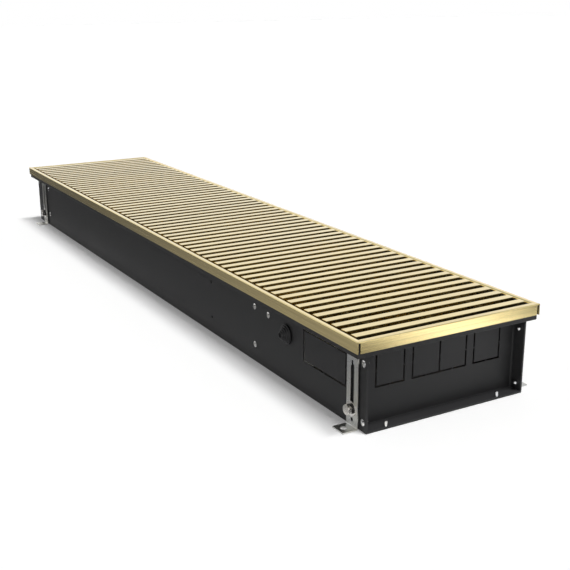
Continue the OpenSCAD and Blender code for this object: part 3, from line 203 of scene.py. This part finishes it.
def zinc(name, base, roughness, along=2):
    """Zinc-plated steel: faint streaks along one axis and a cool and warm cast."""
    g = Graph(name, base, 1.0, roughness)
    stretch = [900.0, 900.0, 900.0]
    stretch[along] = 25.0
    streak = g.noise(g.place(tuple(stretch)), 1.0, 3.0, 0.6)
    cast = g.noise(g.place(), 35.0, 3.0, 0.6)
    speck = g.noise(g.place(), 700.0, 2.0, 0.6)
    cool = rgba((base[0] * 0.94, base[1] * 0.97, base[2] * 1.03))
    warm = rgba((base[0] * 1.05, base[1] * 1.02, base[2] * 0.93))
    tone = g.mix(g.level(cast, 0.0, 1.0), cool, warm)
    g.set("Base Color", g.mix(g.level(streak, 0.0, 0.3), tone, rgba(base, 1.18)))
    wear = g.level(cast, roughness - 0.03, roughness + 0.05)
    g.set("Roughness", g.math("ADD", g.level(speck, -0.05, 0.07), wear))
    g.bump(streak, 0.00002, 0.35)
    return g


def galvanised():
    """Galvanised sheet with spangle."""
    base = (0.52, 0.54, 0.56)
    g = Graph("galvanised", base, 1.0, 0.4)
    spangle = g.node("ShaderNodeSeparateColor")
    g.join(g.cells(g.place(), 170.0), spangle.inputs[0])
    stain = g.noise(g.place(), 20.0, 3.0, 0.6)
    tone = g.mix(g.level(spangle.outputs[0], 0.0, 1.0, 0.0, 1.0), rgba(base, 0.86), rgba(base, 1.16))
    g.set("Base Color", g.mix(g.level(stain, 0.0, 0.4), tone, rgba((0.42, 0.43, 0.44))))
    g.set("Roughness", g.level(spangle.outputs[1], 0.32, 0.5, 0.0, 1.0))
    g.bump(spangle.outputs[2], 0.00002, 0.3)
    return g


def drawn_metal(name, base, dark, roughness, along):
    """Drawn or machined soft metal: streaks along one axis and light tarnish."""
    g = Graph(name, base, 1.0, roughness)
    stretch = [1100.0, 1100.0, 1100.0]
    stretch[along] = 14.0
    streak = g.noise(g.place(tuple(stretch)), 1.0, 3.0, 0.6)
    tarnish = g.noise(g.place(), 60.0, 4.0, 0.62)
    tone = g.mix(g.level(tarnish, 0.0, 0.75, 0.4, 0.75), rgba(base), rgba(dark))
    g.set("Base Color", g.mix(g.level(streak, 0.0, 0.25), tone, rgba(base, 1.15)))
    dull = g.level(tarnish, roughness, roughness + 0.16)
    g.set("Roughness", g.math("ADD", g.level(streak, -0.05, 0.06), dull))
    g.bump(streak, 0.00002, 0.3)
    return g


def moulded(name, base, roughness, grain_scale=900.0, grain_depth=0.00003, specular=0.4):
    """Moulded rubber or plastic with a fine grain and slight unevenness."""
    g = Graph(name, base, 0.0, roughness)
    grain = g.noise(g.place(), grain_scale, 2.0, 0.55)
    cloud = g.noise(g.place(), 45.0, 3.0, 0.55)
    tone = g.mix(g.level(cloud, 0.0, 1.0), rgba(base, 0.9), rgba(base, 1.1))
    g.set("Base Color", g.mix(g.level(grain, 0.0, 0.3), tone, rgba(base, 1.3)))
    uneven = g.level(cloud, roughness - 0.03, roughness + 0.04)
    g.set("Roughness", g.math("ADD", g.level(grain, -0.05, 0.07), uneven))
    g.set("Specular IOR Level", specular)
    g.bump(grain, grain_depth, 0.5)
    return g


def make_finishes():
    return {
        "gold_x": brushed_gold("gold_long_rails", 0, 0.2, 620.0, 0.2),
        "gold_y": brushed_gold("gold_end_rails", 1, 0.24, 620.0, 0.16),
        "gold_slats": slat_gold(),
        "black": powder_black(),
        "zinc": zinc("zinc_plate", (0.6, 0.6, 0.58), 0.3),
        "zinc_bright": zinc("zinc_bright", (0.7, 0.68, 0.66), 0.18),
        # Dark spring steel for the lock washers. The dark colour is partly painted shade, standing in for
        # the shadowed gap under the bolt heads
        "dark_steel_and_painted_shade": zinc("spring_steel_dark_and_painted_shade", (0.04, 0.04, 0.04), 0.45),
        "rivet": zinc("rivet_aluminium", (0.74, 0.74, 0.74), 0.16, 1),
        "steel": zinc("shaft_steel", (0.66, 0.66, 0.66), 0.26, 0),
        "galvanised": galvanised(),
        "rubber": moulded("rubber_black", (0.016, 0.016, 0.017), 0.36, specular=0.5),
        "strip": moulded("strip_rubber", (0.022, 0.022, 0.022), 0.75, 600.0),
        "plastic_black": moulded("plastic_black", (0.025, 0.025, 0.026), 0.45),
        "plastic_grey": moulded("plastic_grey", (0.56, 0.56, 0.54), 0.42),
        "block": moulded("block_plastic", (0.66, 0.65, 0.6), 0.38),
        "enamel": moulded("motor_enamel", (0.03, 0.03, 0.033), 0.32, 500.0),
        "sheath": moulded("cable_sheath", (0.02, 0.02, 0.021), 0.5),
        "fins": drawn_metal("fin_aluminium", (0.74, 0.75, 0.77), (0.5, 0.51, 0.53), 0.34, 2),
        "rotor": drawn_metal("rotor_aluminium", (0.7, 0.71, 0.73), (0.48, 0.49, 0.51), 0.36, 0),
        "copper": drawn_metal("copper_tube", (0.72, 0.36, 0.22), (0.38, 0.17, 0.1), 0.28, 0),
        "brass": drawn_metal("brass_fittings", (0.74, 0.56, 0.27), (0.46, 0.33, 0.14), 0.27, 0),
    }


NODE_FINISH = {
    "gold_x": ["frame_rail_front", "frame_rail_rear"],
    "gold_y": ["frame_rail_near", "frame_rail_far"],
    "gold_slats": ["grille_slats"],
    "black": ["trough", "end_plate_near", "end_plate_far", "wall_doublers", "corner_keys"],
    "zinc": ["foot_bracket_near_front", "foot_bracket_near_rear", "foot_bracket_far_front",
             "foot_bracket_far_rear", "rivet_nuts"],
    "zinc_bright": ["bracket_bolts", "bracket_washers", "motor_screws", "lid_screws", "air_vent_screw"],
    # Lock washers: dark steel, partly painted shade for the gap under the bolt heads
    "dark_steel_and_painted_shade": ["lock_washers"],
    "rivet": ["end_plate_rivets", "casing_rivets"],
    "steel": ["grille_rods", "rod_end_caps", "fan_shaft_near", "fan_shaft_far"],
    "galvanised": ["cross_bracket_near", "cross_bracket_far", "connection_plate", "fan_housing_near",
                   "fan_housing_far"],
    "rubber": ["cable_grommet", "fan_bearing_near", "fan_bearing_far"],
    "strip": ["seat_strips"],
    "plastic_black": ["grille_spacers"],
    "plastic_grey": ["terminal_box", "terminal_box_lid", "cable_clips"],
    "block": ["terminal_block"],
    "enamel": ["fan_motor_near", "fan_motor_far"],
    "sheath": ["motor_cable_near", "motor_cable_far"],
    "fins": ["exchanger_fins"],
    "rotor": ["fan_rotor_near", "fan_rotor_far"],
    "copper": ["exchanger_tubes", "far_return_bends", "near_return_bend"],
    "brass": ["flow_connector", "return_connector", "air_vent_body", "earth_stud"],
}

# Edge rounding in millimetres; what isn't named here keeps its CAD edges
BEVELS = {
    "trough": 0.25, "end_plate_near": 0.25, "end_plate_far": 0.25,
    "foot_bracket_near_front": 0.2, "foot_bracket_near_rear": 0.2,
    "foot_bracket_far_front": 0.2, "foot_bracket_far_rear": 0.2,
    "bracket_bolts": 0.3, "bracket_washers": 0.2, "cable_grommet": 0.3,
    "terminal_box": 0.4, "terminal_box_lid": 0.4, "terminal_block": 0.3, "connection_plate": 0.3,
    "flow_connector": 0.4, "return_connector": 0.4, "air_vent_body": 0.3, "air_vent_screw": 0.2,
    "fan_motor_near": 0.8, "fan_motor_far": 0.8,
}
BEVEL_SEGMENTS = 2
BEVEL_ANGLE = 35.0
WELD_GAP = 0.001


def dress_nodes(finishes):
    for finish, names in NODE_FINISH.items():
        for name in names:
            node = NODES[name]
            node.data.materials.clear()
            node.data.materials.append(finishes[finish].material)
    for name, width in BEVELS.items():
        weld = NODES[name].modifiers.new("weld", "WELD")
        weld.merge_threshold = WELD_GAP * MM
        bevel = NODES[name].modifiers.new("edge", "BEVEL")
        bevel.width = width * MM
        bevel.segments = BEVEL_SEGMENTS
        bevel.limit_method = "ANGLE"
        bevel.angle_limit = math.radians(BEVEL_ANGLE)
        bevel.harden_normals = True


def glow_paths(tree):
    """1 for camera, glossy and transmission rays, and 0 for the rays that light the object."""
    paths = tree.nodes.new("ShaderNodeLightPath")
    total = paths.outputs["Is Camera Ray"]
    for name in ("Is Glossy Ray", "Is Transmission Ray"):
        add = tree.nodes.new("ShaderNodeMath")
        add.operation = "MAXIMUM"
        tree.links.new(total, add.inputs[0])
        tree.links.new(paths.outputs[name], add.inputs[1])
        total = add.outputs[0]
    return total


WHITE = (1.0, 1.0, 1.0, 1.0)
WORLD_LIGHT = 0.2
# What metal shows of the room: white near the horizon, greyer towards the ceiling,
# between these two heights of a ray that is one long
ROOM_LOW, ROOM_HIGH = 1.0, 0.5
ROOM_RISE = (0.32, 0.62)


def make_world():
    world = bpy.data.worlds.new("studio")
    bpy.context.scene.world = world
    world.use_nodes = True
    tree = world.node_tree
    tree.nodes.clear()
    output = tree.nodes.new("ShaderNodeOutputWorld")
    light = tree.nodes.new("ShaderNodeBackground")
    light.inputs["Color"].default_value = WHITE
    light.inputs["Strength"].default_value = WORLD_LIGHT
    seen = tree.nodes.new("ShaderNodeBackground")
    seen.inputs["Color"].default_value = WHITE
    coords = tree.nodes.new("ShaderNodeTexCoord")
    split = tree.nodes.new("ShaderNodeSeparateXYZ")
    room = tree.nodes.new("ShaderNodeMapRange")
    tree.links.new(coords.outputs["Generated"], split.inputs[0])
    tree.links.new(split.outputs["Z"], room.inputs["Value"])
    room.inputs["From Min"].default_value = ROOM_RISE[0]
    room.inputs["From Max"].default_value = ROOM_RISE[1]
    room.inputs["To Min"].default_value = ROOM_LOW
    room.inputs["To Max"].default_value = ROOM_HIGH
    camera_only = tree.nodes.new("ShaderNodeLightPath")
    strength = tree.nodes.new("ShaderNodeMath")
    strength.operation = "MAXIMUM"
    tree.links.new(room.outputs["Result"], strength.inputs[0])
    tree.links.new(camera_only.outputs["Is Camera Ray"], strength.inputs[1])
    tree.links.new(strength.outputs[0], seen.inputs["Strength"])
    pick = tree.nodes.new("ShaderNodeMixShader")
    tree.links.new(glow_paths(tree), pick.inputs[0])
    tree.links.new(light.outputs[0], pick.inputs[1])
    tree.links.new(seen.outputs[0], pick.inputs[2])
    tree.links.new(pick.outputs[0], output.inputs["Surface"])


FLOOR_SIZE = 24.0
FLOOR_COLOR = 0.86
FLOOR_GLOW = 0.17
FLOOR_DROP = 0.3


def make_floor():
    half = FLOOR_SIZE / 2
    mesh = bpy.data.meshes.new("floor")
    corners = [(-half, -half, 0.0), (half, -half, 0.0), (half, half, 0.0), (-half, half, 0.0)]
    mesh.from_pydata(corners, [], [(0, 1, 2, 3)])
    floor = bpy.data.objects.new("floor", mesh)
    floor.location.z = -FLOOR_DROP * MM
    bpy.context.scene.collection.objects.link(floor)
    material = bpy.data.materials.new("floor_white")
    material.use_nodes = True
    tree = material.node_tree
    tree.nodes.clear()
    output = tree.nodes.new("ShaderNodeOutputMaterial")
    matt = tree.nodes.new("ShaderNodeBsdfDiffuse")
    matt.inputs["Color"].default_value = (FLOOR_COLOR, FLOOR_COLOR, FLOOR_COLOR, 1.0)
    glow = tree.nodes.new("ShaderNodeEmission")
    glow.inputs["Color"].default_value = WHITE
    strength = tree.nodes.new("ShaderNodeMath")
    strength.operation = "MULTIPLY"
    strength.inputs[1].default_value = FLOOR_GLOW
    tree.links.new(glow_paths(tree), strength.inputs[0])
    tree.links.new(strength.outputs[0], glow.inputs["Strength"])
    both = tree.nodes.new("ShaderNodeAddShader")
    tree.links.new(matt.outputs[0], both.inputs[0])
    tree.links.new(glow.outputs[0], both.inputs[1])
    tree.links.new(both.outputs[0], output.inputs["Surface"])
    mesh.materials.append(material)


CARD_LIFT = 1.0
CARD_ROUGHNESS = 0.9


def lying(low_x, high_x, low_y, high_y):
    """The corners of a card just above the floor."""
    z = CARD_LIFT * MM
    return [(low_x, low_y, z), (high_x, low_y, z), (high_x, high_y, z), (low_x, high_y, z)]


# Cards that only reflections show. Most are painted reflections: dark greys that darken what the gold and
# black faces mirror, with the front card lighter towards the near end. One glowing card paints a highlight
# on the near end's gold face.
# Each has its grey at the low and the high end of X, its glow, and its corners
CARDS = {
    "painted_reflection_front": ((0.09, 0.36), 0.0, lying(-0.7, 0.62, -1.6, -0.15)),
    "painted_reflection_far": ((0.09, 0.09), 0.0, lying(-2.6, -0.7, -1.6, -0.15)),
    "painted_reflection_wall_front": ((0.13, 0.13), 0.0,
                        [(-2.6, -1.6, 0.0), (0.62, -1.6, 0.0), (0.62, -1.6, 0.35), (-2.6, -1.6, 0.35)]),
    "painted_reflection_end": ((0.17, 0.17), 0.0, lying(0.68, 1.5, -0.9, 0.07)),
    "painted_reflection_rear_end": ((0.2, 0.2), 0.0, lying(0.68, 1.5, 0.33, 1.3)),
    "painted_highlight_end": ((0.8, 0.8), 0.9, lying(0.7, 1.1, 0.14, 0.26)),
}


def card_material(name, greys, glow, low_x, high_x):
    material = bpy.data.materials.new(name)
    material.use_nodes = True
    tree = material.node_tree
    shader = tree.nodes["Principled BSDF"]
    shader.inputs["Roughness"].default_value = CARD_ROUGHNESS
    # The emission is a painted highlight: the card glows though it is no lamp
    shader.inputs["Emission Color"].default_value = WHITE
    shader.inputs["Emission Strength"].default_value = glow
    coords = tree.nodes.new("ShaderNodeTexCoord")
    split = tree.nodes.new("ShaderNodeSeparateXYZ")
    grey = tree.nodes.new("ShaderNodeMapRange")
    tree.links.new(coords.outputs["Object"], split.inputs[0])
    tree.links.new(split.outputs["X"], grey.inputs["Value"])
    grey.inputs["From Min"].default_value = low_x
    grey.inputs["From Max"].default_value = high_x
    grey.inputs["To Min"].default_value = greys[0]
    grey.inputs["To Max"].default_value = greys[1]
    tree.links.new(grey.outputs["Result"], shader.inputs["Base Color"])
    return material


def make_cards():
    for name, (greys, glow, corners) in CARDS.items():
        mesh = bpy.data.meshes.new(name)
        mesh.from_pydata(corners, [], [(0, 1, 2, 3)])
        card = bpy.data.objects.new(name, mesh)
        bpy.context.scene.collection.objects.link(card)
        mesh.materials.append(card_material(name, greys, glow, corners[0][0], corners[1][0]))
        # Hidden from camera, diffuse and shadow rays, so each card is only a painted reflection
        card.visible_camera = False
        card.visible_diffuse = False
        card.visible_shadow = False
        card.visible_transmission = False


# Overhead light as a row of soft suns: tilt from the zenith towards +X and +Y in degrees
SUN_TILTS = [(12.0, -2.0), (12.0, 5.5), (12.0, 12.0)]
SUN_STRENGTH = 0.86
SUN_ANGLE = 9.0


def make_lights():
    for i, (tilt_x, tilt_y) in enumerate(SUN_TILTS):
        data = bpy.data.lights.new(f"overhead_{i}", "SUN")
        data.energy = SUN_STRENGTH
        data.angle = math.radians(SUN_ANGLE)
        sun = bpy.data.objects.new(f"overhead_{i}", data)
        way = Vector((math.tan(math.radians(tilt_x)), math.tan(math.radians(tilt_y)), 1.0))
        sun.matrix_world = (-way).to_track_quat("-Z", "Y").to_matrix().to_4x4()
        sun.visible_glossy = False
        bpy.context.scene.collection.objects.link(sun)


make_camera()
bpy.context.scene.view_settings.view_transform = "Standard"
make_world()
make_floor()
make_cards()
make_lights()
dress_nodes(make_finishes())
